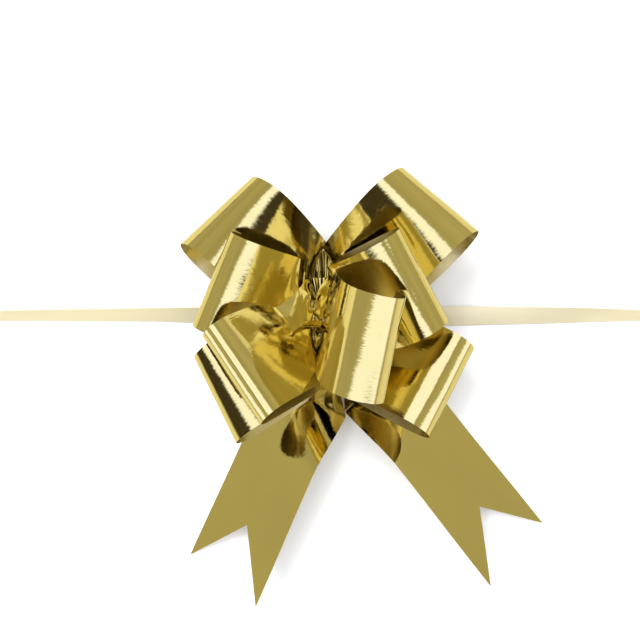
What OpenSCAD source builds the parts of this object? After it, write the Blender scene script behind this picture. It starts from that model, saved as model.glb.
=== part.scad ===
// Butterfly pull bow of metallised film ribbon, lying on its back.
// Millimetres. Origin: back of the knot, on the surface that the bow lies on.
// +X towards the right-hand loops, +Y towards the upper pair of loops, +Z towards the front.

/* [Ribbon] */
// Width of the wide ribbon
ribbon_w = 30; // [28:1:31]
// Wall thickness of the loops and tails
film_t = 0.3; // [0.2:0.05:0.4]
// Half width of the ribbon where a loop leaves its waist
neck_half = 2; // [1.5:0.25:2.5]
// Slope of the cut shoulder, half width gained for each millimetre of length
shoulder_slope = 0.85; // [0.6:0.05:0.9]
// Distance from the waist to the start of a loop's wall
neck_start = 4; // [3.5:0.25:5]

/* [Knot] */
// Height of one gathered waist of the knot
waist_h = 2.9; // [2.4:0.1:3]
// Width of the slit that a pull strip's run passes through
slit_w = 3.4; // [3.2:0.1:3.6]
// Width of a pull strip where it is gathered inside the knot
run_w = 3; // [2.5:0.1:3]

/* [Tails] */
// Length of the left tail from the knot to its two points
tail_left_len = 86; // [80:1:95]
// Length of the right tail from the knot to its two points
tail_right_len = 92; // [80:1:95]
// Depth of the swallow-tail cut
notch_depth = 19; // [14:1:22]
// Tilt of a tail across its width where it stands steepest
tail_tilt_mid = 36; // [30:1:45]
// Tilt of a tail across its width at its points
tail_tilt_tip = 33; // [20:1:38]

/* [Pull strips] */
// Width of a pull strip
strip_w = 6; // [5:0.5:6]
// Thickness of a pull strip
strip_t = 0.3; // [0.2:0.05:0.4]
// Radius of a coiled strip at the middle of its turns
coil_r = 30; // [28:1:32]
// Radial thickness of the coiled turns
coil_band = 5; // [4:0.5:6]

/* [Hidden] */
$fn = 48;

gold = [0.72, 0.64, 0.30];
pale_gold = [0.92, 0.86, 0.68];

// Centre of each gathered waist, from the back of the knot to the front
tails_at = [2, 0.5, 1.45];
lower_at = [2, -1, 4.5];
upper_at = [2, 4, 7.5];
middle_at = [1.5, 1.5, 11];
front_at = [-0.5, -1.5, 15.5];

// How far to each side of its waist's centre a loop's two walls meet
inner_reach = 2;
middle_reach = 2.5;
front_reach = 3;

// Each loop: heading about +Z, lift above the surface, roll about its length, length, radius of its tip
front_left = [216, 62, -3, 45.5, 6.4];
front_right = [-27, 72.5, 16, 47.5, 6.4];
middle_left = [160, 37, -10, 41, 5.2];
middle_right = [22, 51, 7, 43.5, 5.7];
upper_left = [137, 22, -11, 45, 6.4];
upper_right = [45, 26, 14, 49, 7];
lower_left = [215, 21, 0, 42, 5.8];
lower_right = [-31, 26, 6, 45.5, 6.5];

// Each tail: the point that it starts from, its heading about +Z, and how far its cut is askew
tail_left_from = [4.4, -3, 0];
tail_left_heading = 246;
tail_left_skew = 1.6;
tail_right_from = [4.6, -1.2, 0];
tail_right_heading = 308.4;
tail_right_skew = -0.8;
tail_start = 8;
tail_rows = 12;
tail_lift = 0.4;
tail_steepest = 0.45;

// Size along X and Y of each gathered waist that the loops leave from
lower_waist_size = [6, 9];
upper_waist_size = [6, 11];
middle_waist_size = [6, 9];
front_waist_size = [5, 7];

// The waist at the tails is wider, because the pull strips pass through a tunnel in it
tails_waist_size = [16, 10];
tunnel_h = 1;
tunnel_y = 1.3;
tunnel_z = 1.4;
tunnel_side_gap = 0.3;

// The line that the pull strips' run follows, from the back of the knot to the front
run_back = [2.5, 1.5, 0];
run_front = [-0.5, -0.5, 16.5];
run_gap = 0.3;
slit_h = 1.4;
run_start = 2.1;
run_end = 17.3;

// Where a pull strip's free length goes, on the right: x, y, height of its middle and twist in degrees
strip_route_right = [
    [2.5, 1.3, 1.4, 0], [12, 1.3, 1.4, 0], [24, 1.3, 1.2, 5], [40, 1.3, 1, 10], [56, 1.4, 1.6, 20],
    [72, 1.5, 2.2, 32], [88, 1.6, 2.7, 45], [104, 1.4, 3.1, 60], [116, 1.3, 3.2, 75], [127, 1.3, 3.2, 90]
];
strip_route_left = [
    [1.5, 1.3, 1.4, 0], [-8, 1.3, 1.4, 0], [-20, 1.4, 1.9, 22], [-36, 1.6, 2.5, 36], [-52, 1.7, 2.7, 45],
    [-68, 1.6, 2.9, 50], [-86, 1.5, 3, 54], [-104, 1.3, 3.1, 60], [-116, 1.3, 3.2, 75], [-127, 1.3, 3.2, 90]
];
coil_x = 138;
coil_h = strip_w + 0.2;

// Weld tab: the heat-sealed ends of the gathered strips, folded flat on the front waist
tab_outline = [[0.8, 0.6], [-1.6, 0.8], [-3.6, -0.6], [-1.6, -2], [0.8, -1.8]];
tab_t = 0.9;

// One loop's ribbon edge as a ring: two straight walls from the waist, tangent to a round tip.
// The inset ring has the same centre, and its walls are parallel to the outer ones.
function loop_ring(length, tip_r, inset = 0, steps = 18) =
    let (centre = length - tip_r, lean = asin(tip_r / centre))
    concat([[inset / sin(lean), 0]], [
        for (i = [0 : steps])
            let (a = -90 - lean + i * (180 + 2 * lean) / steps)
            [centre + (tip_r - inset) * cos(a), (tip_r - inset) * sin(a)]
    ]);

// The ribbon's cut outline seen flat: a narrow neck that widens over the shoulder to full width
function ribbon_outline(length) =
    let (half = ribbon_w / 2, full = neck_start + (half - neck_half) / shoulder_slope)
    [
        [neck_start, -neck_half], [full, -half], [length + 1, -half],
        [length + 1, half], [full, half], [neck_start, neck_half]
    ];

// A loop lies along +X before it is rolled, lifted and turned to its heading
module loop(at, pose) {
    length = pose[3];
    tip_r = pose[4];
    color(gold)
        translate(at)
            rotate([0, 0, pose[0]])
                rotate([0, -pose[1], 0])
                    rotate([pose[2], 0, 0])
                        intersection() {
                            rotate([90, 0, 0])
                                linear_extrude(height = ribbon_w + 1, center = true)
                                    difference() {
                                        polygon(loop_ring(length, tip_r));
                                        polygon(loop_ring(length, tip_r, film_t));
                                    }
                            translate([0, 0, -ribbon_w / 2])
                                linear_extrude(height = ribbon_w)
                                    polygon(ribbon_outline(length));
                        }
}

module loop_front_left() loop(front_at - [front_reach, 0, 0], front_left);
module loop_front_right() loop(front_at + [front_reach, 0, 0], front_right);
module loop_middle_left() loop(middle_at - [middle_reach, 0, 0], middle_left);
module loop_middle_right() loop(middle_at + [middle_reach, 0, 0], middle_right);
module loop_upper_left() loop(upper_at - [inner_reach, 0, 0], upper_left);
module loop_upper_right() loop(upper_at + [inner_reach, 0, 0], upper_right);
module loop_lower_left() loop(lower_at - [inner_reach, 0, 0], lower_left);
module loop_lower_right() loop(lower_at + [inner_reach, 0, 0], lower_right);

// A smooth step from 0 to 1
function ease(t) = let (c = min(1, max(0, t))) c * c * (3 - 2 * c);

// A point of a tail's sheet: u runs from the knot to the points, k from -1 to 1 across the ribbon.
// The sheet leans on its lower edge, which lies on the surface all the way.
function tail_point(u, k, length, skew, raised_side, face) =
    let (
        reach = length + skew * k - notch_depth * (1 - abs(k)) - tail_start,
        s = tail_start + u * reach,
        half = min(ribbon_w / 2, neck_half + shoulder_slope * (s - tail_start)),
        tilt = tail_tilt_mid * ease(u / tail_steepest)
            - (tail_tilt_mid - tail_tilt_tip) * ease((u - tail_steepest) / (1 - tail_steepest)),
        middle_z = half * sin(tilt) + tail_lift,
        across = k * half,
        out = face * film_t / 2
    )
    [s, across * cos(tilt) - raised_side * out * sin(tilt),
        middle_z + raised_side * across * sin(tilt) + out * cos(tilt)];

// A tail as one thin closed sheet, its upper and lower faces joined round the rim
module tail(from, heading, length, skew, raised_side) {
    cols = [-1, -0.5, 0, 0.5, 1];
    n = len(cols);
    face_size = (tail_rows + 1) * n;
    points = [
        for (face = [1, -1], i = [0 : tail_rows], k = cols)
            tail_point(i / tail_rows, k, length, skew, raised_side, face)
    ];
    function at(i, j, lower = 0) = lower * face_size + i * n + j;
    upper = [
        for (i = [0 : tail_rows - 1], j = [0 : n - 2], half = [0, 1])
            half == 0 ? [at(i, j), at(i + 1, j + 1), at(i + 1, j)] : [at(i, j), at(i, j + 1), at(i + 1, j + 1)]
    ];
    lower = [for (f = upper) [f[2] + face_size, f[1] + face_size, f[0] + face_size]];
    rim = concat(
        [for (i = [0 : tail_rows]) at(i, 0)],
        [for (j = [1 : n - 1]) at(tail_rows, j)],
        [for (i = [tail_rows - 1 : -1 : 0]) at(i, n - 1)],
        [for (j = [n - 2 : -1 : 1]) at(0, j)]
    );
    side = [
        for (m = [0 : len(rim) - 1], half = [0, 1])
            let (a = rim[m], b = rim[(m + 1) % len(rim)])
            half == 0 ? [a, b, b + face_size] : [a, b + face_size, a + face_size]
    ];
    color(gold)
        translate(from)
            rotate([0, 0, heading])
                polyhedron(points, concat(upper, lower, side));
}

module tail_left() tail(tail_left_from, tail_left_heading, tail_left_len, tail_left_skew, 1);
module tail_right() tail(tail_right_from, tail_right_heading, tail_right_len, tail_right_skew, -1);

// Places its children along the run of the pull strips through the knot
module along_run() {
    lean = run_front - run_back;
    translate(run_back)
        rotate([-atan(lean[1] / lean[2]), 0, 0])
            rotate([0, atan(lean[0] / lean[2]), 0])
                children();
}

// The slit through every waist that the strips' run passes through, from a given height up
module slit(from_z) {
    along_run()
        translate([-slit_w / 2, -slit_h / 2, from_z])
            cube([slit_w, slit_h, 2 * run_end]);
}

// A gathered waist is a flat pad with round ends, long along Y
module waist(at, size) {
    wide = size[0];
    long = size[1];
    color(gold)
        difference() {
            translate(at - [0, 0, waist_h / 2])
                linear_extrude(height = waist_h) {
                    square([wide, long - wide], center = true);
                    for (end = [-1, 1])
                        translate([0, end * (long - wide) / 2])
                            circle(d = wide);
                }
            slit(0);
        }
}

module waist_lower() waist(lower_at, lower_waist_size);
module waist_upper() waist(upper_at, upper_waist_size);
module waist_middle() waist(middle_at, middle_waist_size);
module waist_front() waist(front_at, front_waist_size);

// The rearmost waist lies on the surface and holds the tunnel that both pull strips leave by
module waist_tails() {
    tunnel_w = strip_w + 2 * tunnel_side_gap;
    color(gold)
        difference() {
            translate([tails_at[0] - tails_waist_size[0] / 2, tails_at[1] - tails_waist_size[1] / 2, 0])
                cube([tails_waist_size[0], tails_waist_size[1], waist_h]);
            translate([-ribbon_w, tunnel_y - tunnel_w / 2, tunnel_z - tunnel_h / 2])
                cube([2 * ribbon_w, tunnel_w, tunnel_h]);
            slit(tunnel_z);
        }
}

// One half of the gathered strips' run from the tunnel to the weld tab
module strip_run(side) {
    color(pale_gold)
        along_run()
            translate([-run_w / 2, side * (run_gap + strip_t) / 2 - strip_t / 2, run_start])
                cube([run_w, strip_t, run_end - run_start]);
}

module strip_run_left() strip_run(1);
module strip_run_right() strip_run(-1);

module weld_tab() {
    color(pale_gold)
        translate([run_front[0], run_front[1], front_at[2] + waist_h / 2])
            linear_extrude(height = tab_t)
                polygon(tab_outline);
}

// A strip's cross-section at one point of its route: a flat bar with eight corners, twisted about X
function strip_ring(p) =
    let (
        w = strip_w / 2,
        t = strip_t / 2,
        c = strip_t / 4,
        lower = [[-w + c, -t], [w - c, -t], [w, -t + c]],
        upper = [[w, t - c], [w - c, t], [-w + c, t]],
        end = [[-w, t - c], [-w, -t + c]],
        bar = concat(lower, upper, end)
    )
    [
        for (q = bar)
            [p[0], p[1] + q[0] * cos(p[3]) - q[1] * sin(p[3]), p[2] + q[0] * sin(p[3]) + q[1] * cos(p[3])]
    ];

// The free length of a pull strip, swept along its route
module pull_strip(route, sense) {
    sides = 8;
    last = len(route) - 1;
    points = [for (p = route) each strip_ring(p)];
    walls = [
        for (i = [0 : last - 1], j = [0 : sides - 1], half = [0, 1])
            let (a = i * sides + j, b = i * sides + (j + 1) % sides)
            half == 0 ? [a, a + sides, b + sides] : [a, b + sides, b]
    ];
    ends = [[for (j = [0 : sides - 1]) j], [for (j = [sides - 1 : -1 : 0]) last * sides + j]];
    faces = concat(walls, ends);
    color(pale_gold)
        polyhedron(points, [for (f = faces) sense > 0 ? f : [for (i = [len(f) - 1 : -1 : 0]) f[i]]]);
}

module pull_strip_left() pull_strip(strip_route_left, -1);
module pull_strip_right() pull_strip(strip_route_right, 1);

// The rest of a strip's length, wound up on edge into a flat ring of turns
module strip_coil(side) {
    color(pale_gold)
        translate([side * coil_x, tunnel_y + coil_r, 0])
            rotate_extrude($fn = 96)
                translate([coil_r - coil_band / 2, 0])
                    square([coil_band, coil_h]);
}

module strip_coil_left() strip_coil(-1);
module strip_coil_right() strip_coil(1);

loop_front_left();
loop_front_right();
loop_middle_left();
loop_middle_right();
loop_upper_left();
loop_upper_right();
loop_lower_left();
loop_lower_right();
tail_left();
tail_right();
waist_tails();
waist_lower();
waist_upper();
waist_middle();
waist_front();
weld_tab();
strip_run_left();
strip_run_right();
pull_strip_left();
pull_strip_right();
strip_coil_left();
strip_coil_right();
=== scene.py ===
import math

import bpy
import numpy as np
from mathutils import Euler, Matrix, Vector, noise


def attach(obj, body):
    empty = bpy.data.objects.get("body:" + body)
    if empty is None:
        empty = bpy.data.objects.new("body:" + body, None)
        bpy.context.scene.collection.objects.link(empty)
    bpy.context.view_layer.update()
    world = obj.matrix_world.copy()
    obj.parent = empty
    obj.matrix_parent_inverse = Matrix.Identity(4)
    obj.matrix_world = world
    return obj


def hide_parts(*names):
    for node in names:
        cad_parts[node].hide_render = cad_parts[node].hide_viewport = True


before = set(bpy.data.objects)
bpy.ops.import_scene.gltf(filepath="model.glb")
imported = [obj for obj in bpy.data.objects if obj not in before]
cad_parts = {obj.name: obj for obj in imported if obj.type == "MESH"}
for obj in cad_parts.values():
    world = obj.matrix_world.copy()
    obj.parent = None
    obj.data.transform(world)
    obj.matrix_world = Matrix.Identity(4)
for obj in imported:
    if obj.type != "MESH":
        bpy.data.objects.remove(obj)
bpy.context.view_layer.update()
scene = bpy.context.scene

MM = 0.001

# Ribbon, as it is cut flat
RIBBON_W = 30 * MM
HALF_W = RIBBON_W / 2
FILM_T = 0.14 * MM
NECK_HALF = 1.8 * MM
NOTCH_DEPTH = 19 * MM
UV_PER_METRE = 10
CREASE_ANGLE = math.radians(50)

# Pull strips
STRIP_W = 6 * MM
STRIP_T = 0.16 * MM
STRIP_LEN = 0.45
COIL_R = 30 * MM
COIL_X = 138 * MM
COIL_START_R = 32.2 * MM
COIL_PITCH = 2.3 * MM
COIL_STEPS = 48
COIL_MID_Z = 3.2
TUNNEL_Y = 1.3 * MM
STRIP_BOW = 0.12 * MM
STRIP_COLS = 5
ROUTE_STEPS = 8


# ---------------------------------------------------------------- helpers

def ease(t):
    """A smooth step from 0 to 1."""
    t = np.clip(t, 0, 1)
    return t * t * (3 - 2 * t)


def unit(v):
    """Vectors scaled to length 1 along their last axis."""
    return v / np.maximum(np.linalg.norm(v, axis=-1, keepdims=True), 1e-12)


def link(obj):
    """Puts a new object in the scene."""
    scene.collection.objects.link(obj)
    return obj


def film(name, grid, along, across, thick, outer, inner):
    """A thin film: grid[i, j] are its mid-surface points, along[i] and across[j] its flat size in metres.

    The side that the normals point to takes the outer material, the other side the inner one.
    """
    rows, cols = grid.shape[:2]
    d_row = np.gradient(grid, axis=0)
    d_col = np.gradient(grid, axis=1)
    normal = unit(np.cross(d_row, d_col))
    index = np.arange(rows * cols).reshape(rows, cols)
    points = np.concatenate([(grid + normal * thick / 2).reshape(-1, 3),
                             (grid - normal * thick / 2).reshape(-1, 3)])
    low = rows * cols
    a = index[:-1, :-1].ravel()
    b = index[1:, :-1].ravel()
    c = index[1:, 1:].ravel()
    d = index[:-1, 1:].ravel()
    upper = np.stack([a, b, c, d], axis=1)
    lower = np.stack([a, d, c, b], axis=1) + low
    rim = np.concatenate([index[:, 0], index[-1, 1:], index[-2::-1, -1], index[0, -2:0:-1]])
    nxt = np.roll(rim, -1)
    side = np.stack([nxt, rim, rim + low, nxt + low], axis=1)
    faces = np.concatenate([upper, lower, side])
    mesh = bpy.data.meshes.new(name)
    mesh.from_pydata(points.tolist(), [], faces.tolist())
    mesh.materials.append(outer)
    mesh.materials.append(inner)
    kinds = np.zeros(len(faces), int)
    kinds[len(upper):len(upper) + len(lower)] = 1
    mesh.polygons.foreach_set("material_index", kinds)
    flat = np.empty((rows, cols, 2))
    flat[..., 0] = along[:, None] if np.ndim(along) == 1 else along
    flat[..., 1] = across
    flat = np.concatenate([flat.reshape(-1, 2)] * 2) * UV_PER_METRE
    loops = np.empty(len(mesh.loops), int)
    mesh.loops.foreach_get("vertex_index", loops)
    uv = mesh.uv_layers.new(name="flat_film")
    uv.data.foreach_set("uv", flat[loops].ravel())
    mesh.shade_smooth()
    mesh.set_sharp_from_angle(angle=CREASE_ANGLE)
    mesh.validate()
    mesh.update()
    return link(bpy.data.objects.new(name, mesh))


# ---------------------------------------------------------------- materials

NOISE_LOW = 0.3
NOISE_HIGH = 0.7
# Scale over the film's flat layout, stretch along the ribbon, detail
GRAIN = (130, 2.0, 3.0)
WAVES = (14, 1.2)
TINT = (9, 1.5)
# Height of the grain and of the waves in the bump
FACE_RIPPLE = (0.022 * MM, 0.08 * MM)
BACK_RIPPLE = (0.010 * MM, 0.05 * MM)
STRIP_RIPPLE = (0.010 * MM, 0.03 * MM)
COAT_WEIGHT = 0.35
COAT_ROUGHNESS = 0.04
STRIP_METAL = 0.35


def new_material(name):
    """A node material with its Principled shader."""
    mat = bpy.data.materials.new(name)
    mat.use_nodes = True
    nodes = mat.node_tree.nodes
    return mat, nodes, mat.node_tree.links, nodes["Principled BSDF"]


def add_noise(nodes, links, coordinate, scale, stretch, detail=2.0):
    """A noise field over a coordinate, stretched along its first axis."""
    mapping = nodes.new("ShaderNodeMapping")
    mapping.inputs["Scale"].default_value = (scale / stretch, scale, scale)
    links.new(coordinate, mapping.inputs["Vector"])
    field = nodes.new("ShaderNodeTexNoise")
    field.inputs["Scale"].default_value = 1.0
    field.inputs["Detail"].default_value = detail
    links.new(mapping.outputs["Vector"], field.inputs["Vector"])
    return field.outputs["Fac"]


def add_range(nodes, links, value, low, high):
    """Maps the middle of a noise field to a range."""
    node = nodes.new("ShaderNodeMapRange")
    node.inputs["From Min"].default_value = NOISE_LOW
    node.inputs["From Max"].default_value = NOISE_HIGH
    node.inputs["To Min"].default_value = low
    node.inputs["To Max"].default_value = high
    links.new(value, node.inputs["Value"])
    return node.outputs["Result"]


def add_mix(nodes, links, factor, colour_a, colour_b):
    """Mixes two plain colours by a factor."""
    node = nodes.new("ShaderNodeMix")
    node.data_type = "RGBA"
    links.new(factor, node.inputs["Factor"])
    for socket, colour in ((node.inputs[6], colour_a), (node.inputs[7], colour_b)):
        socket.default_value = (*colour, 1)
    return node.outputs[2]


def add_bump(nodes, links, height, distance, under=None):
    """A bump of a given height, on top of another one if there is one."""
    node = nodes.new("ShaderNodeBump")
    node.inputs["Strength"].default_value = 1.0
    node.inputs["Distance"].default_value = distance
    links.new(height, node.inputs["Height"])
    if under is not None:
        links.new(under, node.inputs["Normal"])
    return node.outputs["Normal"]


def foil(name, colour_a, colour_b, rough, ripple, metal=1.0):
    """Metallised film: mirror-like, with a fine grain along the ribbon, slow waves and a changing tint."""
    mat, nodes, links, shader = new_material(name)
    flat = nodes.new("ShaderNodeTexCoord").outputs["UV"]
    grain = add_noise(nodes, links, flat, *GRAIN)
    waves = add_noise(nodes, links, flat, *WAVES)
    tint = add_noise(nodes, links, flat, *TINT)
    shader.inputs["Metallic"].default_value = metal
    shader.inputs["Coat Weight"].default_value = COAT_WEIGHT
    shader.inputs["Coat Roughness"].default_value = COAT_ROUGHNESS
    links.new(add_mix(nodes, links, tint, colour_a, colour_b), shader.inputs["Base Color"])
    links.new(add_range(nodes, links, grain, *rough), shader.inputs["Roughness"])
    fine = add_bump(nodes, links, grain, ripple[0])
    links.new(add_bump(nodes, links, waves, ripple[1], fine), shader.inputs["Normal"])
    return mat


gold_face = foil("gold_foil_face", (0.86, 0.74, 0.32), (0.80, 0.68, 0.27), (0.05, 0.11), FACE_RIPPLE)
gold_back = foil("gold_foil_back", (0.80, 0.68, 0.33), (0.75, 0.63, 0.29), (0.26, 0.36), BACK_RIPPLE)
strip_film = foil("pale_gold_film", (0.86, 0.79, 0.56), (0.82, 0.74, 0.5), (0.3, 0.42), STRIP_RIPPLE,
                  STRIP_METAL)


# ---------------------------------------------------------------- camera

LENS = 70.3
CAMERA_HEIGHT = 0.4


def make_camera():
    """Straight above the bow, looking down, with +Y up in the picture."""
    data = bpy.data.cameras.new("camera")
    data.sensor_width = 36
    data.lens = LENS
    data.clip_start = 0.01
    cam = link(bpy.data.objects.new("camera", data))
    cam.location = (0, 0, CAMERA_HEIGHT)
    scene.camera = cam


make_camera()


# ---------------------------------------------------------------- pull strips

# x, y, height of the middle and twist in degrees. The CAD solids have the same points, but for the last
# two: theirs stay at y 1.3, and here they turn in towards the coil's outer turn.
STRIP_ROUTE_RIGHT = [
    (2.5, 1.3, 1.4, 0), (12, 1.3, 1.4, 0), (24, 1.3, 1.2, 5), (40, 1.3, 1, 10), (56, 1.4, 1.6, 20),
    (72, 1.5, 2.2, 32), (88, 1.6, 2.7, 45), (104, 1.4, 3.1, 60), (116, 0.9, 3.2, 75), (127, 0, 3.2, 90),
]
STRIP_ROUTE_LEFT = [
    (1.5, 1.3, 1.4, 0), (-8, 1.3, 1.4, 0), (-20, 1.4, 1.9, 22), (-36, 1.6, 2.5, 36), (-52, 1.7, 2.7, 45),
    (-68, 1.6, 2.9, 50), (-86, 1.5, 3, 54), (-104, 1.3, 3.1, 60), (-116, 0.9, 3.2, 75), (-127, 0, 3.2, 90),
]


def smooth_through(points, per_span):
    """A Catmull-Rom curve through rows of values."""
    p = np.array(points, float)
    p = np.concatenate([[2 * p[0] - p[1]], p, [2 * p[-1] - p[-2]]])
    out = []
    for i in range(1, len(p) - 2):
        for t in np.arange(per_span) / per_span:
            out.append(0.5 * (2 * p[i] + (p[i + 1] - p[i - 1]) * t
                              + (2 * p[i - 1] - 5 * p[i] + 4 * p[i + 1] - p[i + 2]) * t ** 2
                              + (3 * p[i] - p[i - 1] - 3 * p[i + 1] + p[i + 2]) * t ** 3))
    out.append(p[-2])
    return np.array(out)


def strip_path(route, side, exit_x):
    """Centreline and width direction of one pull strip: its straight run, then its coiled turns on edge."""
    start = np.array([abs(exit_x) / MM, *route[1][1:]])
    rows = [start] + [np.array([abs(r[0]), *r[1:]]) for r in route if abs(r[0]) > start[0] + 1]
    rows.append(np.array([COIL_X / MM, (TUNNEL_Y + COIL_R - COIL_START_R) / MM, COIL_MID_Z, 90]))
    run = smooth_through(rows, ROUTE_STEPS)
    twist = np.radians(run[:, 3])
    centre = run[:, :3] * MM
    wide = np.stack([0 * twist, np.cos(twist), np.sin(twist)], axis=1)
    used = np.linalg.norm(np.diff(centre, axis=0), axis=1).sum()
    turns = (STRIP_LEN - used) / (2 * math.pi * (COIL_START_R - COIL_PITCH * 0.8))
    angle = np.arange(1, int(turns * COIL_STEPS) + 1) * 2 * math.pi / COIL_STEPS
    r = COIL_START_R - COIL_PITCH * angle / (2 * math.pi)
    turn = np.stack([COIL_X + r * np.sin(angle), TUNNEL_Y + COIL_R - r * np.cos(angle),
                     0 * r + COIL_MID_Z * MM], axis=1)
    upright = np.zeros_like(turn)
    upright[:, 2] = 1
    path = np.concatenate([centre, turn])
    wide = np.concatenate([wide, upright])
    path[:, 0] *= side
    return path, wide


def make_strip(side, route, exit_x, name, node, coil, body):
    """A pull strip as one slightly bowed band along its whole path."""
    path, wide = strip_path(route, side, exit_x)
    along = np.concatenate([[0], np.cumsum(np.linalg.norm(np.diff(path, axis=0), axis=1))])
    across = np.linspace(-1, 1, STRIP_COLS) * STRIP_W / 2
    bow = STRIP_BOW * (1 - (across / (STRIP_W / 2)) ** 2)
    tangent = unit(np.gradient(path, axis=0))
    normal = np.cross(tangent, wide)
    grid = path[:, None] + wide[:, None] * across[None, :, None] + normal[:, None] * bow[None, :, None]
    strip = film(name, grid, along, across, STRIP_T, strip_film, strip_film)
    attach(strip, body)
    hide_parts(node, coil)
    return strip


make_strip(1, STRIP_ROUTE_RIGHT, 10 * MM, "strip_right_film", "pull_strip_right", "strip_coil_right",
           "strip_right")
make_strip(-1, STRIP_ROUTE_LEFT, -6 * MM, "strip_left_film", "pull_strip_left", "strip_coil_left",
           "strip_left")


# ---------------------------------------------------------------- loops

# Each loop: the point that its walls aim at, where its film starts in the knot, then heading, lift, roll
# and twist in degrees, length, how round its tip is, and how soon its walls settle into its heading
LOOPS = {
    "front_left": ((-0.3, -3.9, 15.5), (-1.5, 5.6, 15.8), 206, 52, 19, -9, 42.8, 0.045, 15),
    "front_right": ((0.6, 2.9, 15.5), (-2.3, -0.2, 15.8), -37.5, 68, 26, 2, 48.8, 0.092, 10),
    "middle_left": ((-0.4, 2.1, 11), (-0.5, 1.5, 11), 163, 36.5, -10, 0.5, 39.8, 0.07, 18),
    "middle_right": ((3, 1.2, 11), (1.5, 2, 11), 22, 53, 12.5, -5, 44.6, 0.075, 19),
    "upper_left": ((0.3, 3.6, 7.5), (0.6, 4, 7.5), 136.5, 22.5, 15.5, -28, 46, 0.088, 17),
    "upper_right": ((4, 3.3, 7.5), (2, 4, 7.5), 46, 25.5, -12.5, 25, 49.9, 0.085, 16),
    "lower_left": ((1.2, -3.5, 4.5), (0.6, -1, 4.5), 212, 26.5, 11.5, -28, 42.7, 0.078, 18),
    "lower_right": ((2.6, -3.8, 4.5), (2.6, -1, 4.5), -25.5, 25.5, -13.5, 10, 45.2, 0.077, 19),
}
LOOP_ROWS = 150
LOOP_COLS = 25
PLEAT_REACH = 9 * MM
PLEAT_DEPTH = 0.35 * MM
PLEAT_WAVES = 2.5
WAVE_DEPTH = 0.12 * MM
WAVE_LENGTH = 14 * MM
WAVE_REACH = 6 * MM
SEED_STEP = 7.3
WALL_BEND = 0.03
STEEPEST_LEAN = 1.2


def teardrop(length, roundness):
    """Side view of a film loop: evenly spaced points out along the lower wall, round, and back again.

    The film's turning is spread round the tip like a bell curve, with a little of it in the walls.
    """
    s = np.linspace(0, 1, LOOP_ROWS)
    bend = np.exp(-0.5 * ((s - 0.5) / roundness) ** 2) + WALL_BEND
    turned = np.concatenate([[0], np.cumsum((bend[1:] + bend[:-1]) / 2)])
    turned /= turned[-1]

    def curve(lean):
        """The film's points when its two walls start at a given angle to each other's bisector."""
        angle = -lean + (math.pi + 2 * lean) * turned
        mid = (angle[1:] + angle[:-1]) / 2
        step = 1 / (LOOP_ROWS - 1)
        x = np.concatenate([[0], np.cumsum(np.cos(mid)) * step])
        z = np.concatenate([[0], np.cumsum(np.sin(mid)) * step])
        return x, z

    low, high = 0.0, STEEPEST_LEAN
    for _ in range(40):
        lean = (low + high) / 2
        x, z = curve(lean)
        if z[LOOP_ROWS // 2] > 0:
            low = lean
        else:
            high = lean
    scale = length / x.max()
    return x * scale, z * scale, s * scale


def make_loop(name, at, root, heading, lift, roll, twist, length, roundness, settles, seed):
    """One loop of the bow as a film surface with semicircular shoulders that narrow to its waist."""
    x, z, s = teardrop(length * MM, roundness)
    turn = (Euler((0, 0, math.radians(heading))).to_matrix()
            @ Euler((0, -math.radians(lift), 0)).to_matrix()
            @ Euler((math.radians(roll), 0, 0)).to_matrix())
    turn = np.array(turn)
    centre = np.array(at) * MM + np.stack([x, 0 * x, z], axis=1) @ turn.T
    from_end = np.minimum(s, s[-1] - s)
    mix = ease(from_end / (settles * MM))[:, None]
    centre += (1 - mix) * (np.array(root) - np.array(at)) * MM
    spin = math.radians(twist) * x / x.max()
    wide = np.cos(spin)[:, None] * turn[:, 1] + np.sin(spin)[:, None] * turn[:, 2]
    root_wide = np.array([0, math.copysign(1, turn[1, 1]), 0])
    ruling = unit((1 - mix) * root_wide + mix * wide)
    shoulder = np.sqrt(np.maximum(0, HALF_W ** 2 - np.maximum(0, HALF_W - from_end) ** 2))
    half = np.maximum(NECK_HALF, shoulder)
    k = np.linspace(-1, 1, LOOP_COLS)
    grid = centre[:, None] + ruling[:, None] * (half[:, None] * k)[..., None]
    across = half[:, None] * k
    normal = unit(np.cross(np.gradient(grid, axis=0), np.gradient(grid, axis=1)))
    pleats = PLEAT_DEPTH * (1 - ease(from_end / PLEAT_REACH))[:, None] * np.cos(PLEAT_WAVES * math.pi * k)
    waves = np.array([[noise.noise(Vector((si / WAVE_LENGTH, wj / WAVE_LENGTH, seed * SEED_STEP)))
                       for wj in row] for si, row in zip(s, across)])
    grid = grid + normal * (pleats + waves * WAVE_DEPTH * ease(from_end / WAVE_REACH)[:, None])[..., None]
    loop = film(f"{name}_loop_film", grid, s, across, FILM_T, gold_back, gold_face)
    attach(loop, f"loop_{name}")
    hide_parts(f"loop_{name}")
    return loop


for seed, (name, values) in enumerate(LOOPS.items()):
    make_loop(name, *values, seed)


# ---------------------------------------------------------------- tails

# Each tail: the point that it starts from, heading, length to its two points, skew of its cut, raised side
TAILS = {
    "left": ((4.4, -3, 0), 246, 86, 1.6, 1),
    "right": ((4.6, -1.2, 0), 308.4, 92, -0.8, -1),
}
TAIL_START = 8 * MM
TAIL_LIFT = 0.4 * MM
TAIL_TILT_MID = math.radians(36)
TAIL_TILT_TIP = math.radians(33)
TAIL_STEEPEST = 0.45
SHOULDER_SLOPE = 0.85
TAIL_ROWS = 90
TAIL_COLS = 25


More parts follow.
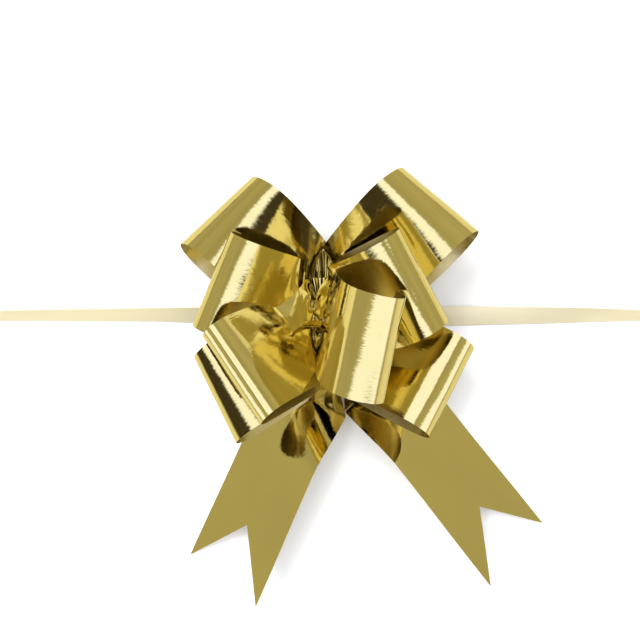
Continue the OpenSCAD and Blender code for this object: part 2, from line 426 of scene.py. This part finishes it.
def make_tail(name, start, heading, length, skew, raised_side):
    """A swallow-tailed end of the ribbon that leans on its lower edge."""
    u = np.linspace(0, 1, TAIL_ROWS)[:, None]
    k = np.linspace(-1, 1, TAIL_COLS)[None, :]
    reach = (length + skew * k) * MM - NOTCH_DEPTH * (1 - np.abs(k)) - TAIL_START
    s = TAIL_START + u * reach
    half = np.minimum(HALF_W, NECK_HALF + SHOULDER_SLOPE * (s - TAIL_START))
    tilt = (TAIL_TILT_MID * ease(u / TAIL_STEEPEST)
            - (TAIL_TILT_MID - TAIL_TILT_TIP) * ease((u - TAIL_STEEPEST) / (1 - TAIL_STEEPEST)))
    across = k * half
    grid = np.stack([s, across * np.cos(tilt), half * np.sin(tilt) + TAIL_LIFT
                     + raised_side * across * np.sin(tilt)], axis=-1)
    turn = np.array(Euler((0, 0, math.radians(heading))).to_matrix())
    grid = np.array(start) * MM + grid @ turn.T
    tail = film(f"{name}_tail_film", grid, s, across, FILM_T, gold_face, gold_back)
    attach(tail, f"tail_{name}")
    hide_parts(f"tail_{name}")
    return tail


# ---------------------------------------------------------------- knot

# Each gathered waist: centre, and its size along X and Y
WAISTS = {
    "tails": ((2, 0.5, 1.45), (15, 9.6)),
    "lower": ((2, -1, 4.5), (6, 9)),
    "upper": ((2, 4, 7.5), (6, 11)),
    "middle": ((1.5, 1.5, 11), (6, 9)),
    "front": ((-0.5, -1.5, 15.5), (5, 7)),
}
WAIST_H = 2.9 * MM
WAIST_FOLDS = 9
FOLD_POINTS = 8
FOLD_COLS = 13
FOLD_SQUARENESS = 0.7
PINCH_NARROWS = 0.22
PINCH_FLATTENS = 0.28
CRUMPLE_LENGTH = 1.5 * MM
CRUMPLE_DEPTH = 0.25 * MM

# The strips' gathered run through the waists, and the part of it that shows film
RUN_BACK = Vector((2.5, 1.5, 0)) * MM
RUN_FRONT = Vector((-0.5, -0.5, 16.5)) * MM
RUN_W = 3 * MM
RUN_ROWS = 40
RUN_COLS = 9
RUN_FROM = 0.13
RUN_TO = 1.03
RUN_GAP = 0.3
RUN_CURL = 0.12
RUN_RIPPLE = 0.1 * MM

# The nub: where it starts, how far it reaches to the left and forward, its width
NUB_ROWS = 24
NUB_COLS = 13
NUB_START = (-0.2, -0.6, 17.4)
NUB_REACH = 5.4
NUB_DROP = 0.4 * MM
NUB_RISE = 9.5
NUB_HALF_W = 1.25 * MM
NUB_FLAT_LENGTH = 4.2 * MM


def folded(width, height, folds, length):
    """An accordion of rounded folds: its points across, its flat length at each, and its columns."""
    u = np.linspace(-1, 1, folds * FOLD_POINTS + 1)
    rise = height / 2 * np.sin(math.pi * folds * (u + 1) / 2)
    rise = np.sign(rise) * np.abs(rise / (height / 2)) ** FOLD_SQUARENESS * height / 2
    place = np.stack([u * width / 2, rise], axis=1)
    flat = np.concatenate([[0], np.cumsum(np.linalg.norm(np.diff(place, axis=0), axis=1))])
    return place, flat, np.linspace(-length / 2, length / 2, FOLD_COLS)


def make_waist(name, at, size):
    """A waist of the ribbon, pleated like an accordion along Y and pinched where the strips pass."""
    place, flat, across = folded(size[1] * MM - FILM_T, WAIST_H - 3 * FILM_T, WAIST_FOLDS, size[0] * MM)
    reach = across / (size[0] * MM / 2)
    flare = 1 - PINCH_NARROWS * (1 - reach ** 2)
    grid = np.empty((len(place), len(across), 3))
    grid[..., 0] = across[None, :]
    grid[..., 1] = place[:, :1] * flare[None, :]
    grid[..., 2] = place[:, 1:] * (1 - PINCH_FLATTENS + PINCH_FLATTENS * reach[None, :] ** 2)
    crumple = np.array([noise.noise(Vector((y / CRUMPLE_LENGTH, size[0], at[2]))) for y in place[:, 0]])
    grid[..., 0] += crumple[:, None] * CRUMPLE_DEPTH
    piece = film(f"{name}_waist_pleats", grid + np.array(at) * MM, flat, across, FILM_T, gold_face, gold_back)
    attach(piece, "knot")
    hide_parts(f"waist_{name}")
    return piece


def make_strip_run(name, side):
    """One strip's gathered run from the tunnel to the weld, a narrow band that curls at its edges."""
    t = np.linspace(RUN_FROM, RUN_TO, RUN_ROWS)[:, None]
    k = np.linspace(-1, 1, RUN_COLS)[None, :]
    along = np.array(RUN_FRONT - RUN_BACK)
    grid = np.array(RUN_BACK) + t[..., None] * along
    grid = np.repeat(grid, RUN_COLS, axis=1)
    grid[..., 0] += k * RUN_W / 2
    grid[..., 1] += side * (RUN_GAP + RUN_CURL * np.cos(k * 4)) * MM + RUN_RIPPLE * np.sin(t * 40)
    flat = t[:, 0] * float(np.linalg.norm(along))
    piece = film(name, grid, flat, k[0] * RUN_W / 2, STRIP_T, strip_film, strip_film)
    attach(piece, "knot")
    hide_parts(name.replace("_band", ""))
    return piece


def make_nub():
    """The sealed fold that sticks up to the left on the front of the knot, with a slight crumple."""
    t = np.linspace(0, 1, NUB_ROWS)[:, None]
    k = np.linspace(-1, 1, NUB_COLS)[None, :]
    half = NUB_HALF_W * (1 - 0.45 * t) * (0.6 + 0.4 * ease(t * 3))
    start_x, start_y, start_z = NUB_START
    grid = np.empty((NUB_ROWS, NUB_COLS, 3))
    grid[..., 0] = (start_x - NUB_REACH * t) * MM + 0.15 * MM * np.cos(k * 6)
    grid[..., 1] = start_y * MM - NUB_DROP * t + half * k - 0.5 * MM
    grid[..., 2] = ((start_z + NUB_RISE * t + 0.35 * np.sin(t * math.pi)) * MM
                    + 0.2 * MM * np.sin(k * 5 + t * 3))
    piece = film("weld_nub", grid, t[:, 0] * NUB_FLAT_LENGTH, k[0] * NUB_HALF_W, STRIP_T,
                 gold_face, gold_face)
    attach(piece, "knot")
    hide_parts("weld_tab")
    return piece


# Each gathered neck: its centre, width and length, height at its lower and upper end, number of folds
NECKS = {
    "rear": ((1.4, 8), (9, 27), (6.2, 12.5), 5),
    "fore": ((0.6, 3.5), (7, 19), (12.4, 14.6), 4),
}
NECK_FOLD_DEPTH = 0.7 * MM
NECK_MIDDLE = 0.45


def make_neck(name, at, size, heights, folds):
    """The gathered film between a left and a right loop: fine pleats along Y that fan out from the knot."""
    place, flat, across = folded(size[0] * MM, NECK_FOLD_DEPTH, folds, size[1] * MM)
    t = (across / (size[1] * MM) + 0.5)[None, :]
    grid = np.empty((len(place), len(across), 3))
    fan = NECK_MIDDLE + (1 - NECK_MIDDLE) * np.abs(2 * t - 1) ** 1.3
    height = heights[0] + (heights[1] - heights[0]) * t ** 1.5
    grid[..., 0] = at[0] * MM + place[:, :1] * fan
    grid[..., 1] = at[1] * MM + across[None, :]
    grid[..., 2] = height * MM + place[:, 1:] * (0.5 + 0.5 * t)
    piece = film(f"{name}_neck_pleats", grid, flat, across, FILM_T, gold_face, gold_back)
    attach(piece, "knot")
    return piece


def make_knot():
    """All the film of the knot."""
    for name, (at, size) in WAISTS.items():
        make_waist(name, at, size)
    make_strip_run("strip_run_left_band", 1)
    make_strip_run("strip_run_right_band", -1)
    make_nub()
    for name, values in NECKS.items():
        make_neck(name, *values)


# ---------------------------------------------------------------- studio

# The paper's colour, and a duller olive painted reflection colour that only the foil's mirrored rays see
PAPER = (0.9, 0.9, 0.91)
PAPER_PAINTED_REFLECTION = (0.50, 0.46, 0.30)
PAPER_ROUGHNESS = 0.8
FLOOR_REACH = 3.0


def make_floor():
    """A plain sheet of white paper, with a painted reflection: in the foil it shows a duller olive instead of
    white.
    """
    mat, nodes, links, shader = new_material("studio_paper")
    mirrored = nodes.new("ShaderNodeLightPath").outputs["Is Glossy Ray"]
    # Painted reflection: glossy rays see the paper as a duller olive, camera and diffuse rays as white
    links.new(add_mix(nodes, links, mirrored, PAPER, PAPER_PAINTED_REFLECTION), shader.inputs["Base Color"])
    shader.inputs["Roughness"].default_value = PAPER_ROUGHNESS
    mesh = bpy.data.meshes.new("floor")
    corners = [(x * FLOOR_REACH, y * FLOOR_REACH, 0) for x, y in ((-1, -1), (1, -1), (1, 1), (-1, 1))]
    mesh.from_pydata(corners, [], [(0, 1, 2, 3)])
    mesh.materials.append(mat)
    floor = link(bpy.data.objects.new("floor", mesh))
    return floor


# Colours that the foil mirrors: the room, a bright panel on the near side, the dark beyond it
ROOM_A = (0.44, 0.40, 0.23)
ROOM_B = (0.33, 0.30, 0.17)
PANEL = (1.0, 1.05, 1.35)
DARK = (0.045, 0.035, 0.018)
NEUTRAL = (0.55, 0.56, 0.58)
WORLD_STRENGTH = 1.2
ROOM_PATCHES = 2.2
# Where the panel and the dark start towards the near side, as parts of a direction's Y
PANEL_EDGE = (-0.24, -0.27)
DARK_EDGE = (-0.48, -0.53)
# Where both give way to the room low down, as parts of a direction's Z
LOW_EDGE = (0.05, 0.18)
# A small round panel overhead: its direction, and the cosines of its soft edge
SPOT_DIRECTION = (0.0, 0.26, 0.966)
SPOT_EDGE = (0.935, 0.945)


def make_world():
    """Soft light: a long bright panel above the near side, darkness beyond it, an even room all round."""
    world = bpy.data.worlds.new("studio")
    scene.world = world
    world.use_nodes = True
    nodes, links = world.node_tree.nodes, world.node_tree.links
    background = nodes["Background"]
    direction = nodes.new("ShaderNodeTexCoord").outputs["Generated"]
    split = nodes.new("ShaderNodeSeparateXYZ")
    links.new(direction, split.inputs["Vector"])
    spot = nodes.new("ShaderNodeVectorMath")
    spot.operation = "DOT_PRODUCT"
    spot.inputs[1].default_value = SPOT_DIRECTION
    links.new(direction, spot.inputs[0])

    def fade(value, edge):
        """0 before a soft edge and 1 after it."""
        node = nodes.new("ShaderNodeMapRange")
        node.inputs["From Min"].default_value, node.inputs["From Max"].default_value = edge
        links.new(value, node.inputs["Value"])
        return node.outputs["Result"]

    def blend(factor, low, high):
        """A mix of two colours, each a plain colour or another node's output."""
        node = nodes.new("ShaderNodeMix")
        node.data_type = "RGBA"
        links.new(factor, node.inputs["Factor"])
        for socket, value in ((node.inputs[6], low), (node.inputs[7], high)):
            if isinstance(value, tuple):
                socket.default_value = (*value, 1)
            else:
                links.new(value, socket)
        return node.outputs[2]

    patches = add_range(nodes, links, add_noise(nodes, links, direction, ROOM_PATCHES, 1.0), 0, 1)
    room = blend(patches, ROOM_A, ROOM_B)
    high_sky = blend(fade(split.outputs["Y"], PANEL_EDGE), room, PANEL)
    high_sky = blend(fade(split.outputs["Y"], DARK_EDGE), high_sky, DARK)
    high_sky = blend(fade(spot.outputs["Value"], SPOT_EDGE), high_sky, PANEL)
    sky = blend(fade(split.outputs["Z"], LOW_EDGE), room, high_sky)
    mirrored = nodes.new("ShaderNodeLightPath").outputs["Is Glossy Ray"]
    links.new(blend(mirrored, NEUTRAL, sky), background.inputs["Color"])
    background.inputs["Strength"].default_value = WORLD_STRENGTH


def make_light(name, place, size, energy):
    """An area light that only lights matt things, so that it leaves no mark of its own in the foil."""
    data = bpy.data.lights.new(name, "AREA")
    data.energy = energy
    data.size = size
    light = link(bpy.data.objects.new(name, data))
    light.location = place
    light.rotation_euler = (-Vector(place)).to_track_quat("-Z", "Y").to_euler()
    light.visible_glossy = False


for name, values in TAILS.items():
    make_tail(name, *values)
make_knot()
make_floor()
make_world()
make_light("key", place=(-0.5, 0.55, 1.1), size=0.7, energy=16)
make_light("top", place=(0, 0, 1.4), size=1.6, energy=15)
scene.view_settings.view_transform = "Standard"
